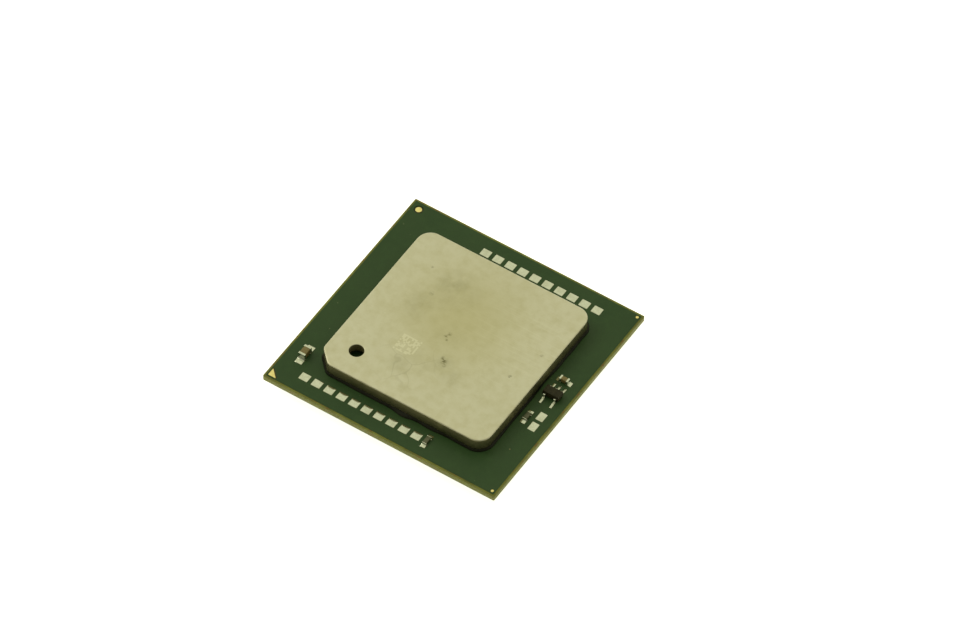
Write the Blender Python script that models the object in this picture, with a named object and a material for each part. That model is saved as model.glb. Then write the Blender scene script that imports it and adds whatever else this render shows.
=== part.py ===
"""Pin-grid processor package: laminate board, lidded die, pins and surface parts.

Metres, +Z up.  The origin is the middle of the plane through the pin tips.  The board's
edges run along X and Y, and the chamfered corner of the lid, at -X -Y, marks pin one.
"""
import math
from collections import namedtuple

import bmesh
import bpy

MM = 0.001

# Board and solder mask
BOARD_SIDE = 42.5 * MM
BOARD_THICKNESS = 0.98 * MM
MASK_THICKNESS = 0.04 * MM
MASK_RIM = 0.35 * MM               # bare laminate along the board's edges
MASK_CLEARANCE = 0.05 * MM         # from a pad's edge to the edge of its mask opening
CONTACT_CLEARANCE = 0.02 * MM      # between pieces that touch

# Lid
LID_INSET = 5.75 * MM              # board left free all round the lid
LID_HEIGHT = 2.5 * MM              # lid's top above the mask
LID_CORNER_RADIUS = 2.4 * MM
LID_CHAMFER = 2.4 * MM
LID_CHAMFER_ROUNDING = 1.2 * MM
LID_EDGE_ROUNDING = 0.25 * MM
LID_FOOT_WIDTH = 3.0 * MM
CAVITY_CORNER_RADIUS = 1.5 * MM
VENT_DIAMETER = 2.4 * MM
VENT_WALL = 0.45 * MM              # from the vent's edge to the cavity's walls
SEALANT_THICKNESS = 0.15 * MM
SEALANT_BEAD = 0.25 * MM           # sealant squeezed out past the lid's foot

# Die and what holds it
DIE_LENGTH = 12.4 * MM
DIE_WIDTH = 9.1 * MM
DIE_THICKNESS = 0.78 * MM
UNDERFILL_THICKNESS = 0.08 * MM
UNDERFILL_SPREAD = 1.0 * MM
UNDERFILL_CLIMB = 0.5 * MM         # up the die's sides
INTERFACE_THICKNESS = 0.10 * MM
INTERFACE_SPREAD = 0.4 * MM

# Pins
PIN_LENGTH = 2.03 * MM
PIN_DIAMETER = 0.305 * MM
PIN_PITCH = 1.27 * MM
PIN_SIDE_MARGIN = 2.2 * MM         # board edge to the least pin centre, along X
PIN_END_MARGIN = 6.01 * MM         # the same along Y
WINDOW_LENGTH = 24.13 * MM         # middle of the pin field without pins, along X
WINDOW_WIDTH = 11.43 * MM          # the same along Y
LAND_THICKNESS = 0.05 * MM
LAND_MARGIN = 0.4 * MM             # land sheet past the outer pin centres

# Rows of bare test pads in front of the lid and behind it
TEST_PAD_COUNT = 10
TEST_PAD_PITCH = 2.286 * MM
TEST_PAD_LENGTH = 1.57 * MM
TEST_PAD_WIDTH = 1.36 * MM
FRONT_ROW_DISTANCE = 2.47 * MM     # lid's wall to the pads' centres
REAR_ROW_DISTANCE = 2.59 * MM
FRONT_ROW_START = -0.14 * MM       # first pad's centre, from the lid's -X wall
REAR_ROW_END = 0.98 * MM           # last pad's centre, from the lid's +X wall
PAD_HEIGHT = 0.10 * MM
PAD_DOME = 0.05 * MM               # how far a pad's solder draws in at its top

# Two bare pads of an unfitted part, beside the lid
SPARE_PAD_LENGTH = 1.65 * MM
SPARE_PAD_WIDTH = 1.25 * MM
SPARE_PAD_DISTANCE = 3.32 * MM     # lid's wall to the pads' centres
SPARE_PAD_PLACES = (-4.28 * MM, -6.55 * MM)

# Gold marks in the board's corners
MARK_THICKNESS = 0.035 * MM
TRIANGLE_LEG = 1.42 * MM
TRIANGLE_INSET = 0.6 * MM          # from both board edges
FIDUCIAL_DIAMETER = 1.05 * MM
FIDUCIAL_OPENING = 1.6 * MM
FIDUCIAL_INSET = 1.67 * MM
DOT_DIAMETER = 0.48 * MM
DOT_INSET = 0.85 * MM

# Chip capacitors and resistors; places are from the lid's walls or from its middle
CHIP_END_WALL = 0.05 * MM          # metal round the end of a chip's ceramic
SOLDER_CLIMB = 0.55                # solder's height on a chip's end, as a share of that end
FRONT_RESISTOR_STEP = 1.92 * MM    # last front test pad to the resistor
UNDERSIDE_CHIP_PITCH = 5.6 * MM
UNDERSIDE_CHIP_COUNT = 4
UNDERSIDE_CHIP_LENGTH = 3.2 * MM
UNDERSIDE_CHIP_WIDTH = 1.6 * MM
UNDERSIDE_CHIP_HEIGHT = 0.9 * MM

# Five-lead side chip
SIDE_CHIP_LENGTH = 2.9 * MM
SIDE_CHIP_WIDTH = 1.6 * MM
SIDE_CHIP_HEIGHT = 1.05 * MM
SIDE_CHIP_STANDOFF = 0.1 * MM
SIDE_CHIP_DRAFT = 0.08 * MM
SIDE_CHIP_DISTANCE = 2.5 * MM
SIDE_CHIP_PLACE = 0.15 * MM
LEAD_PITCH = 0.95 * MM
LEAD_WIDTH = 0.4 * MM
LEAD_THICKNESS = 0.15 * MM
LEAD_REACH = 0.62 * MM             # from the moulded side to the toe
LEAD_PAD_REACH = 1.42 * MM         # from the moulded side to the pad's far edge
LEAD_PAD_START = 0.25 * MM

ARC_STEPS = 6
ROUND_STEPS = 20

# Heights, from the pin tips up
LOWER_MASK_Z = PIN_LENGTH + LAND_THICKNESS + CONTACT_CLEARANCE
BOARD_Z = LOWER_MASK_Z + MASK_THICKNESS + CONTACT_CLEARANCE
BOARD_TOP_Z = BOARD_Z + BOARD_THICKNESS
PAD_Z = BOARD_TOP_Z + CONTACT_CLEARANCE
SURFACE_Z = PAD_Z + MASK_THICKNESS
LID_TOP_Z = SURFACE_Z + LID_HEIGHT
SEALANT_Z = SURFACE_Z + CONTACT_CLEARANCE
FOOT_Z = SEALANT_Z + SEALANT_THICKNESS + CONTACT_CLEARANCE
DIE_Z = SURFACE_Z + CONTACT_CLEARANCE + UNDERFILL_THICKNESS + CONTACT_CLEARANCE
INTERFACE_Z = DIE_Z + DIE_THICKNESS + CONTACT_CLEARANCE
CEILING_Z = INTERFACE_Z + INTERFACE_THICKNESS + CONTACT_CLEARANCE

# Half sizes that other pieces are placed from
BOARD_HALF = BOARD_SIDE / 2
LID_HALF = BOARD_HALF - LID_INSET
CAVITY_HALF = LID_HALF - LID_FOOT_WIDTH

CORNER_SIGNS = ((1, 1), (-1, 1), (-1, -1), (1, -1))

Finish = namedtuple("Finish", "colour roughness metallic")
Pad = namedtuple("Pad", "x y half_x half_y")
Chip = namedtuple("Chip", "name x y turn length width height end_length pad_span finish")

LAMINATE = Finish("8A8748", 0.6, 0.0)
MASK_GREEN = Finish("384A2D", 0.4, 0.0)
NICKEL_PLATE = Finish("BAB68C", 0.35, 1.0)
BLACK_SEALANT = Finish("181816", 0.5, 0.0)
SILICON = Finish("50525C", 0.15, 0.6)
GREY_PASTE = Finish("A8A8A0", 0.7, 0.0)
AMBER_UNDERFILL = Finish("4A3A24", 0.4, 0.0)
GOLD = Finish("DCCB78", 0.3, 1.0)
TIN = Finish("C8CCB0", 0.3, 1.0)
BROWN_CERAMIC = Finish("7E6448", 0.5, 0.0)
DARK_GLAZE = Finish("3A3C34", 0.4, 0.0)
MOULDED_BLACK = Finish("26261E", 0.6, 0.0)

CHIPS = (
    Chip("left_capacitor", -LID_HALF - 2.58 * MM, -LID_HALF + 1.2 * MM, 90,
         2.0 * MM, 1.25 * MM, 1.15 * MM, 0.4 * MM, 3.95 * MM, BROWN_CERAMIC),
    Chip("right_capacitor", LID_HALF + 2.49 * MM, 3.45 * MM, 0,
         1.6 * MM, 0.85 * MM, 0.8 * MM, 0.35 * MM, 2.65 * MM, BROWN_CERAMIC),
    Chip("right_resistor", LID_HALF + 1.47 * MM, -5.52 * MM, 90,
         1.6 * MM, 0.85 * MM, 0.45 * MM, 0.3 * MM, 2.8 * MM, DARK_GLAZE),
    Chip("front_resistor", -LID_HALF + FRONT_ROW_START + (TEST_PAD_COUNT - 1) * TEST_PAD_PITCH
         + FRONT_RESISTOR_STEP, -LID_HALF - 2.5 * MM, 90,
         1.6 * MM, 0.85 * MM, 0.45 * MM, 0.3 * MM, 2.7 * MM, DARK_GLAZE),
)


def clear_scene():
    for old in list(bpy.data.objects):
        bpy.data.objects.remove(old, do_unlink=True)


def linear_colour(code):
    """An sRGB hex code as a linear RGBA colour."""
    shares = [int(code[i:i + 2], 16) / 255 for i in (0, 2, 4)]
    return [s / 12.92 if s <= 0.04045 else ((s + 0.055) / 1.055) ** 2.4 for s in shares] + [1.0]


def give_finish(part, finish):
    material = bpy.data.materials.new(part.name + "_finish")
    material.use_nodes = True
    shader = material.node_tree.nodes["Principled BSDF"]
    shader.inputs["Base Color"].default_value = linear_colour(finish.colour)
    shader.inputs["Roughness"].default_value = finish.roughness
    shader.inputs["Metallic"].default_value = finish.metallic
    part.data.materials.append(material)


def new_part(name, bm, finish, place=(0, 0, 0), turn=0):
    """An object from a closed bmesh, turned by degrees about Z."""
    bmesh.ops.recalc_face_normals(bm, faces=bm.faces)
    mesh = bpy.data.meshes.new(name)
    bm.to_mesh(mesh)
    bm.free()
    part = bpy.data.objects.new(name, mesh)
    part.location = place
    part.rotation_euler.z = math.radians(turn)
    bpy.context.scene.collection.objects.link(part)
    if finish:
        give_finish(part, finish)
    return part


def cut(part, name, bm):
    """Cut a closed bmesh, made in the part's own frame, out of the part."""
    cutter = new_part(name, bm, None, part.location, math.degrees(part.rotation_euler.z))
    cutter.hide_render = True
    cutter.display_type = "WIRE"
    boolean = part.modifiers.new(name, "BOOLEAN")
    boolean.operation = "DIFFERENCE"
    boolean.solver = "EXACT"
    boolean.object = cutter


def arc(centre_x, centre_y, radius, start, end, steps=ARC_STEPS):
    """Points along an arc between two angles in degrees."""
    angles = [math.radians(start + (end - start) * i / steps) for i in range(steps + 1)]
    return [(centre_x + radius * math.cos(a), centre_y + radius * math.sin(a)) for a in angles]


def circle(centre_x, centre_y, radius, steps=ROUND_STEPS):
    return arc(centre_x, centre_y, radius, 0, 360 * (1 - 1 / steps), steps - 1)


def rectangle(half_x, half_y, x=0.0, y=0.0):
    return [(x + sx * half_x, y + sy * half_y) for sx, sy in CORNER_SIGNS]


def rounded_square(half, radius):
    centre = half - radius
    outline = []
    for quarter, (sx, sy) in enumerate(CORNER_SIGNS):
        outline += arc(sx * centre, sy * centre, radius, 90 * quarter, 90 * quarter + 90)
    return outline


def lid_outline(grow=0.0):
    """The lid's outline, moved outwards by grow: three round corners and one chamfer."""
    half = LID_HALF + grow
    radius = LID_CORNER_RADIUS + grow
    rounding = LID_CHAMFER_ROUNDING + grow
    chamfer = LID_CHAMFER + grow * (2 - math.sqrt(2))
    tangent = chamfer + rounding * math.tan(math.radians(22.5))
    centre = half - radius
    outline = arc(centre, centre, radius, 0, 90)
    outline += arc(-centre, centre, radius, 90, 180)
    outline += arc(rounding - half, tangent - half, rounding, 180, 225, ARC_STEPS // 2)
    outline += arc(tangent - half, rounding - half, rounding, 225, 270, ARC_STEPS // 2)
    outline += arc(centre, -centre, radius, 270, 360)
    return outline


def add_prism(bm, outline, low, high):
    """An upright closed prism; returns its top vertices."""
    floor = bm.faces.new([bm.verts.new((x, y, low)) for x, y in outline])
    grown = bmesh.ops.extrude_face_region(bm, geom=[floor])
    top = [item for item in grown["geom"] if isinstance(item, bmesh.types.BMVert)]
    bmesh.ops.translate(bm, vec=(0, 0, high - low), verts=top)
    return top


def prism(outline, low, high):
    bm = bmesh.new()
    add_prism(bm, outline, low, high)
    return bm


def side_prism(profile, half_width):
    """A closed prism along Y from a profile in the X-Z plane."""
    bm = bmesh.new()
    side = bm.faces.new([bm.verts.new((x, -half_width, z)) for x, z in profile])
    grown = bmesh.ops.extrude_face_region(bm, geom=[side])
    far = [item for item in grown["geom"] if isinstance(item, bmesh.types.BMVert)]
    bmesh.ops.translate(bm, vec=(0, 2 * half_width, 0), verts=far)
    return bm


def tapered_block(levels):
    """A closed block with a rectangular section at each (height, half_x, half_y) level."""
    bm = bmesh.new()
    height, half_x, half_y = levels[0]
    floor = bm.faces.new([bm.verts.new((x, y, height)) for x, y in rectangle(half_x, half_y)])
    top = floor
    for height, half_x, half_y in levels[1:]:
        below = top
        grown = bmesh.ops.extrude_face_region(bm, geom=[below])
        top = [item for item in grown["geom"] if isinstance(item, bmesh.types.BMFace)][0]
        if below is not floor:
            bmesh.ops.delete(bm, geom=[below], context="FACES_ONLY")
        for corner in top.verts:
            side_x = math.copysign(half_x, corner.co.x)
            side_y = math.copysign(half_y, corner.co.y)
            corner.co = (side_x, side_y, height)
    return bm


def test_pads():
    """The two rows of test pads, by name."""
    pads = {}
    front_y = -LID_HALF - FRONT_ROW_DISTANCE
    rear_y = LID_HALF + REAR_ROW_DISTANCE
    half_x, half_y = TEST_PAD_LENGTH / 2, TEST_PAD_WIDTH / 2
    for i in range(TEST_PAD_COUNT):
        front_x = -LID_HALF + FRONT_ROW_START + i * TEST_PAD_PITCH
        rear_x = LID_HALF - REAR_ROW_END - (TEST_PAD_COUNT - 1 - i) * TEST_PAD_PITCH
        pads[f"front_test_pad_{i + 1:02d}"] = Pad(front_x, front_y, half_x, half_y)
        pads[f"rear_test_pad_{i + 1:02d}"] = Pad(rear_x, rear_y, half_x, half_y)
    return pads


def spare_pads():
    x = LID_HALF + SPARE_PAD_DISTANCE
    return {f"spare_pad_{i + 1}": Pad(x, y, SPARE_PAD_WIDTH / 2, SPARE_PAD_LENGTH / 2)
            for i, y in enumerate(SPARE_PAD_PLACES)}


def chip_pads(chip):
    """The two solder pads of a chip, in the board's axes."""
    inner = chip.length / 2 - chip.end_length
    outer = chip.pad_span / 2
    reach = (inner + outer) / 2
    along, across = (outer - inner) / 2, chip.width / 2
    if chip.turn:
        return [Pad(chip.x, chip.y + side * reach, across, along) for side in (1, -1)]
    return [Pad(chip.x + side * reach, chip.y, along, across) for side in (1, -1)]


def side_chip_leads():
    """Each lead's offset along the chip and the side that it leaves, +1 or -1 along Y."""
    return ((-LEAD_PITCH, 1), (0.0, 1), (LEAD_PITCH, 1), (-LEAD_PITCH, -1), (LEAD_PITCH, -1))


def lead_pads():
    x = LID_HALF + SIDE_CHIP_DISTANCE
    near = SIDE_CHIP_WIDTH / 2 + LEAD_PAD_START
    far = SIDE_CHIP_WIDTH / 2 + LEAD_PAD_REACH
    return [Pad(x + offset, SIDE_CHIP_PLACE + side * (near + far) / 2, LEAD_WIDTH / 2, (far - near) / 2)
            for offset, side in side_chip_leads()]


def triangle(grow=0.0):
    """The pin-one triangle's outline, its right angle in the board's corner."""
    low = -BOARD_HALF + TRIANGLE_INSET - grow
    leg = TRIANGLE_LEG + grow * (2 + math.sqrt(2))
    return [(low, low), (low + leg, low), (low, low + leg)]


def round_marks():
    """Name, centre, diameter and mask opening of each round gold mark."""
    fiducial = BOARD_HALF - FIDUCIAL_INSET
    dot = BOARD_HALF - DOT_INSET
    opening = DOT_DIAMETER + 2 * MASK_CLEARANCE
    return (("round_fiducial", -fiducial, fiducial, FIDUCIAL_DIAMETER, FIDUCIAL_OPENING),
            ("rear_corner_dot", dot, dot, DOT_DIAMETER, opening),
            ("front_corner_dot", dot, -dot, DOT_DIAMETER, opening))


def make_board():
    half = BOARD_HALF
    new_part("board_laminate", prism(rectangle(half, half), BOARD_Z, BOARD_TOP_Z), LAMINATE)


def make_masks():
    half = BOARD_HALF - MASK_RIM
    outline = rectangle(half, half)
    lower = prism(outline, LOWER_MASK_Z, LOWER_MASK_Z + MASK_THICKNESS)
    new_part("lower_solder_mask", lower, MASK_GREEN)
    upper = new_part("upper_solder_mask", prism(outline, PAD_Z, SURFACE_Z), MASK_GREEN)
    low, high = PAD_Z - MASK_THICKNESS, SURFACE_Z + MASK_THICKNESS
    openings = bmesh.new()
    pads = list(test_pads().values()) + list(spare_pads().values()) + lead_pads()
    for chip in CHIPS:
        pads += chip_pads(chip)
    for pad in pads:
        half_x, half_y = pad.half_x + MASK_CLEARANCE, pad.half_y + MASK_CLEARANCE
        add_prism(openings, rectangle(half_x, half_y, pad.x, pad.y), low, high)
    for _, x, y, _, opening in round_marks():
        add_prism(openings, circle(x, y, opening / 2), low, high)
    add_prism(openings, triangle(MASK_CLEARANCE), low, high)
    cut(upper, "mask_openings", openings)


def make_lid():
    bm = bmesh.new()
    top = add_prism(bm, lid_outline(), FOOT_Z, LID_TOP_Z)
    rim = [edge for edge in bm.edges if all(corner in top for corner in edge.verts)]
    bmesh.ops.bevel(bm, geom=rim, offset=LID_EDGE_ROUNDING, offset_type="OFFSET", segments=2,
                    profile=0.5, affect="EDGES", material=-1)
    lid = new_part("heat_spreader", bm, NICKEL_PLATE)
    below = FOOT_Z - SEALANT_THICKNESS
    cut(lid, "lid_cavity", prism(rounded_square(CAVITY_HALF, CAVITY_CORNER_RADIUS), below, CEILING_Z))
    radius = VENT_DIAMETER / 2
    vent = -CAVITY_HALF + VENT_WALL + radius
    middle = (FOOT_Z + CEILING_Z) / 2
    cut(lid, "vent_hole", prism(circle(vent, vent, radius), middle, LID_TOP_Z + LID_HEIGHT))


def make_sealant():
    top = SEALANT_Z + SEALANT_THICKNESS
    ring = new_part("lid_sealant", prism(lid_outline(SEALANT_BEAD), SEALANT_Z, top), BLACK_SEALANT)
    inside = rounded_square(CAVITY_HALF, CAVITY_CORNER_RADIUS)
    cut(ring, "sealant_inside", prism(inside, SEALANT_Z - SEALANT_THICKNESS, top + SEALANT_THICKNESS))


def make_die_stack():
    half_x, half_y = DIE_LENGTH / 2, DIE_WIDTH / 2
    new_part("silicon_die", prism(rectangle(half_x, half_y), DIE_Z, DIE_Z + DIE_THICKNESS), SILICON)

    low = SURFACE_Z + CONTACT_CLEARANCE
    wall = MASK_THICKNESS + CONTACT_CLEARANCE
    spread = UNDERFILL_SPREAD
    underfill = new_part("die_underfill", tapered_block([
        (low, half_x + spread, half_y + spread),
        (low + UNDERFILL_THICKNESS, half_x + spread, half_y + spread),
        (DIE_Z + UNDERFILL_CLIMB, half_x + wall, half_y + wall)]), AMBER_UNDERFILL)
    pocket = rectangle(half_x + CONTACT_CLEARANCE, half_y + CONTACT_CLEARANCE)
    cut(underfill, "die_pocket", prism(pocket, DIE_Z - CONTACT_CLEARANCE, DIE_Z + DIE_THICKNESS))

    spread = INTERFACE_SPREAD
    paste = prism(rectangle(half_x + spread, half_y + spread), INTERFACE_Z,
                  INTERFACE_Z + INTERFACE_THICKNESS)
    new_part("thermal_interface", paste, GREY_PASTE)


def pin_places(margin):
    """Centres of the pins along one axis, as many as fit inside the margin."""
    count = int((BOARD_SIDE - 2 * margin) / PIN_PITCH + 0.001) + 1
    return [(i - (count - 1) / 2) * PIN_PITCH for i in range(count)]


def pin_bank(columns, rows):
    """Upright pins at every crossing of the columns and rows, standing on one land sheet.

    A grid with a line at each pin's sides makes the sheet, and the pins are its cells drawn out.
    The pins are square, with the section area of the round ones.
    """
    half = PIN_DIAMETER * math.sqrt(math.pi) / 4
    lines = []
    for centres in (columns, rows):
        sides = [centre + side * half for centre in centres for side in (-1, 1)]
        lines.append([centres[0] - LAND_MARGIN] + sides + [centres[-1] + LAND_MARGIN])
    bm = bmesh.new()
    across, along = [len(line) - 1 for line in lines]
    bmesh.ops.create_grid(bm, x_segments=across, y_segments=along, size=0.5)
    sheet = list(bm.faces)
    tips = []
    for cell in sheet:
        middle = cell.calc_center_median()
        column = int((middle.x + 0.5) * across)
        row = int((middle.y + 0.5) * along)
        if column % 2 and row % 2:
            tips.append(cell)
    for corner in bm.verts:
        column = round((corner.co.x + 0.5) * across)
        row = round((corner.co.y + 0.5) * along)
        corner.co = (lines[0][column], lines[1][row], PIN_LENGTH)
    grown = bmesh.ops.extrude_face_region(bm, geom=sheet)
    upper = [item for item in grown["geom"] if isinstance(item, bmesh.types.BMVert)]
    bmesh.ops.translate(bm, vec=(0, 0, LAND_THICKNESS), verts=upper)
    top = [item for item in grown["geom"] if isinstance(item, bmesh.types.BMFace)]
    bmesh.ops.dissolve_faces(bm, faces=top)
    drawn = bmesh.ops.extrude_discrete_faces(bm, faces=tips)
    ends = [corner for face in drawn["faces"] for corner in face.verts]
    bmesh.ops.translate(bm, vec=(0, 0, -PIN_LENGTH), verts=ends)
    return bm


def make_pins():
    columns = pin_places(PIN_SIDE_MARGIN)
    rows = pin_places(PIN_END_MARGIN)
    half_x, half_y = WINDOW_LENGTH / 2, WINDOW_WIDTH / 2
    front = [y for y in rows if y < -half_y]
    rear = [y for y in rows if y > half_y]
    beside = [y for y in rows if abs(y) <= half_y]
    left = [x for x in columns if x < -half_x]
    right = [x for x in columns if x > half_x]
    new_part("front_pin_bank", pin_bank(columns, front), GOLD)
    new_part("rear_pin_bank", pin_bank(columns, rear), GOLD)
    new_part("left_pin_bank", pin_bank(left, beside), GOLD)
    new_part("right_pin_bank", pin_bank(right, beside), GOLD)


def make_pads():
    inner = PAD_HEIGHT - PAD_DOME
    pads = dict(test_pads(), **spare_pads())
    for name, pad in pads.items():
        levels = [(0, pad.half_x, pad.half_y), (inner, pad.half_x, pad.half_y),
                  (PAD_HEIGHT, pad.half_x - PAD_DOME, pad.half_y - PAD_DOME)]
        new_part(name, tapered_block(levels), TIN, (pad.x, pad.y, PAD_Z))


def make_marks():
    top = PAD_Z + MARK_THICKNESS
    new_part("pin_one_triangle", prism(triangle(), PAD_Z, top), GOLD)
    for name, x, y, diameter, _ in round_marks():
        disc = prism(circle(0, 0, diameter / 2), 0, MARK_THICKNESS)
        new_part(name, disc, GOLD, (x, y, PAD_Z))


def make_chip(chip):
    """Ceramic body held by two metal ends, each soldered to its pad."""
    wall = CHIP_END_WALL
    half_length, half_width = chip.length / 2, chip.width / 2
    place = (chip.x, chip.y, PAD_Z)
    top = PAD_HEIGHT + chip.height
    clear = wall + CONTACT_CLEARANCE
    ceramic = prism(rectangle(half_length - clear, half_width - clear), PAD_HEIGHT + clear, top - clear)
    new_part(chip.name + "_body", ceramic, chip.finish, place, chip.turn)

    inner = half_length - chip.end_length
    solder_top = PAD_HEIGHT + SOLDER_CLIMB * chip.height
    for number, side in enumerate((1, -1), 1):
        profile = [(inner, 0), (chip.pad_span / 2, 0), (chip.pad_span / 2, PAD_HEIGHT),
                   (half_length, solder_top), (half_length, top), (inner, top)]
        profile = [(side * x, z) for x, z in profile]
        end = new_part(f"{chip.name}_end_{number}", side_prism(profile, half_width), TIN,
                       place, chip.turn)
        room = rectangle(half_length - wall, half_width - wall)
        cut(end, f"{chip.name}_room_{number}", prism(room, PAD_HEIGHT + wall, top - wall))


def make_side_chip():
    """Moulded body with gull-wing leads, three on one side and two on the other."""
    x = LID_HALF + SIDE_CHIP_DISTANCE
    place = (x, SIDE_CHIP_PLACE, PAD_Z)
    half_x, half_y = SIDE_CHIP_LENGTH / 2, SIDE_CHIP_WIDTH / 2
    low = PAD_HEIGHT + SIDE_CHIP_STANDOFF
    top = low + SIDE_CHIP_HEIGHT
    middle = (low + top) / 2
    draft = SIDE_CHIP_DRAFT
    body = tapered_block([(low, half_x - draft, half_y - draft), (middle, half_x, half_y),
                          (top, half_x - draft, half_y - draft)])
    new_part("side_chip_body", body, MOULDED_BLACK, place)

    start = half_y + CONTACT_CLEARANCE
    heel = half_y + LEAD_PAD_START
    toe = half_y + LEAD_REACH
    far = half_y + LEAD_PAD_REACH
    bend = heel + LEAD_THICKNESS
    shoulder = middle + LEAD_THICKNESS / 2
    foot = PAD_HEIGHT + LEAD_THICKNESS
    profile = [(heel, 0), (far, 0), (far, PAD_HEIGHT), (toe, foot), (bend, foot), (bend, shoulder),
               (start, shoulder), (start, shoulder - LEAD_THICKNESS), (heel, shoulder - LEAD_THICKNESS)]
    for number, (offset, side) in enumerate(side_chip_leads(), 1):
        new_part(f"side_chip_lead_{number}", side_prism(profile, LEAD_WIDTH / 2), TIN,
                 (x + offset, SIDE_CHIP_PLACE, PAD_Z), 90 * side)


def make_underside_chips():
    """Capacitors in the pin field's window, hanging under the board."""
    top = LOWER_MASK_Z - CONTACT_CLEARANCE
    block = rectangle(UNDERSIDE_CHIP_LENGTH / 2, UNDERSIDE_CHIP_WIDTH / 2)
    for i in range(UNDERSIDE_CHIP_COUNT):
        x = (i - (UNDERSIDE_CHIP_COUNT - 1) / 2) * UNDERSIDE_CHIP_PITCH
        new_part(f"underside_capacitor_{i + 1}", prism(block, -UNDERSIDE_CHIP_HEIGHT, 0),
                 BROWN_CERAMIC, (x, 0, top))


def main():
    clear_scene()
    make_board()
    make_masks()
    make_lid()
    make_sealant()
    make_die_stack()
    make_pins()
    make_pads()
    make_marks()
    for chip in CHIPS:
        make_chip(chip)
    make_side_chip()
    make_underside_chips()


main()
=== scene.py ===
import math
from functools import partial

import bmesh
import bpy
from mathutils import Matrix, Vector, noise


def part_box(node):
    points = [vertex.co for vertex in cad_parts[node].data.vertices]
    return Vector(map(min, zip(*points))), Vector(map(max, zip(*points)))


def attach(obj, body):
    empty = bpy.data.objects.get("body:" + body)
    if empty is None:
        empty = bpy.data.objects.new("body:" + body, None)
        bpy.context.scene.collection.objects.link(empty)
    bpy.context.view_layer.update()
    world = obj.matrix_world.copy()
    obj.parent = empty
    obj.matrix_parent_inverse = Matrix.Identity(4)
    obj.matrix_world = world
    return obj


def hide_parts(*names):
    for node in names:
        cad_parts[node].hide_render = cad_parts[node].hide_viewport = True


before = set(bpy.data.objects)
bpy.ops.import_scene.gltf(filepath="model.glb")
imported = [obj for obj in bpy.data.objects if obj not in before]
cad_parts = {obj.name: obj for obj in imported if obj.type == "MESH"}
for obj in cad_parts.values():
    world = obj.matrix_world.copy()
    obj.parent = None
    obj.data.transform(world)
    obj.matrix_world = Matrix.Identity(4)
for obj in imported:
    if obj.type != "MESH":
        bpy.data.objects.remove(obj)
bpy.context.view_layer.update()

MM = 0.001

# Board
BOARD_CORNER = 0.18 * MM
BOARD_ARRIS = 0.035 * MM           # edge broken by the router

# Lid
LID_CORNER = 2.4 * MM
LID_CHAMFER = 2.4 * MM
CHAMFER_ROUNDING = 1.2 * MM
LID_EDGE = 0.20 * MM               # rounding of the stamped top edge
LID_BAND = 0.3 * MM                # flat band just inside the rounded edge
LID_FOOT = 3.0 * MM
CAVITY_CORNER = 1.5 * MM
VENT_RADIUS = 1.2 * MM
VENT_WALL = 0.45 * MM              # from the vent's edge to the cavity's walls
VENT_LIP = 0.10 * MM
CLEARANCE = 0.02 * MM              # the frame's gap between pieces that touch

# Sealant bead under the lid's edge: steps out from the wall and up from the mask, in millimetres
BEAD = ((0.20, 0.0), (0.30, 0.07), (0.24, 0.22), (0.12, 0.34), (0.03, 0.42))
BEAD_SPACING = 0.4 * MM
BEAD_WANDER = 0.22 * MM
WANDER_LENGTH = 3.5 * MM
LUMP_PLACE = 1.0 * MM              # a thick spot along the front edge
LUMP_SPREAD = 1.6 * MM
LUMP_SIZE = 0.28 * MM

# Pins
PIN_PITCH = 1.27 * MM
PIN_RADIUS = 0.1525 * MM
LAND_MARGIN = 0.4 * MM             # land sheet past the outer pin centres
PIN_HEAD_RADIUS = 0.32 * MM
PIN_HEAD_HEIGHT = 0.12 * MM

# Gold marks and bare pads
PAD_CORNER = 0.10 * MM
MARK_CORNER = 0.09 * MM
MARK_EDGE = 0.012 * MM             # rounding of their top edges

# A bare pad's solder above the mask, edge to middle: steps inwards and up, in millimetres
PILLOW = ((0.05, 0.014), (0.10, 0.018), (0.14, 0.014), (0.14, 0.009), (0.12, 0.004))

# Chips
CHIP_END_WALL = 0.05 * MM
CERAMIC_EDGE = 0.05 * MM           # rounding of a chip's body
END_EDGE = 0.075 * MM              # rounding of its metal ends
FILM = 0.03 * MM                   # solder on a pad, above the mask
FILLET_CLIMB = 0.22                # share of the metal end's height
FILLET_KNEE = 0.14                 # share of the pad that shows past the end
FILLET_HOLLOW = 0.07 * MM
MOULD_DRAFT = 0.08 * MM
LEAD_THICKNESS = 0.15 * MM
LEAD_HEEL = 0.13 * MM              # from the moulded side to a lead's first bend
LEAD_TOE = 0.62 * MM               # from the moulded side to its tip
LEAD_BEND = 0.07 * MM
UNDERSIDE_WRAP = 0.5 * MM          # metal over each end of an underside capacitor

# Etched square on the lid, in millimetres
CODE_CELL = 0.28
CODE_HALF = 1.68
CODE_PLACE = (-4.92, -5.62)

# Smudges and short scuff marks on the lid: x, y and size in millimetres, and how dark
SMUDGES = ((-6.0, 8.9, 3.2, 0.3), (-4.5, 7.5, 6.0, 0.2), (1.6, -5.3, 2.2, 0.35),
           (-0.5, -1.0, 3.5, 0.15), (-1.5, -7.5, 4.5, 0.2), (-8.0, 2.0, 5.0, 0.2),
           (4.0, -7.5, 3.0, 0.25), (-4.0, -9.5, 3.0, 0.2))
SCUFFS = ((-0.7, -0.2, 0.45, 0.8), (-1.0, -0.8, 0.5, 0.8), (-0.5, -1.4, 0.4, 0.6), (1.0, -4.7, 0.5, 0.7),
          (1.5, -5.2, 0.8, 0.9), (2.0, -5.9, 0.5, 0.5), (11.5, -2.0, 0.45, 1.0), (-7.5, 5.0, 0.6, 0.4),
          (13.4, 4.0, 0.5, 0.4), (-10.3, 9.4, 0.4, 0.4))

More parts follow.
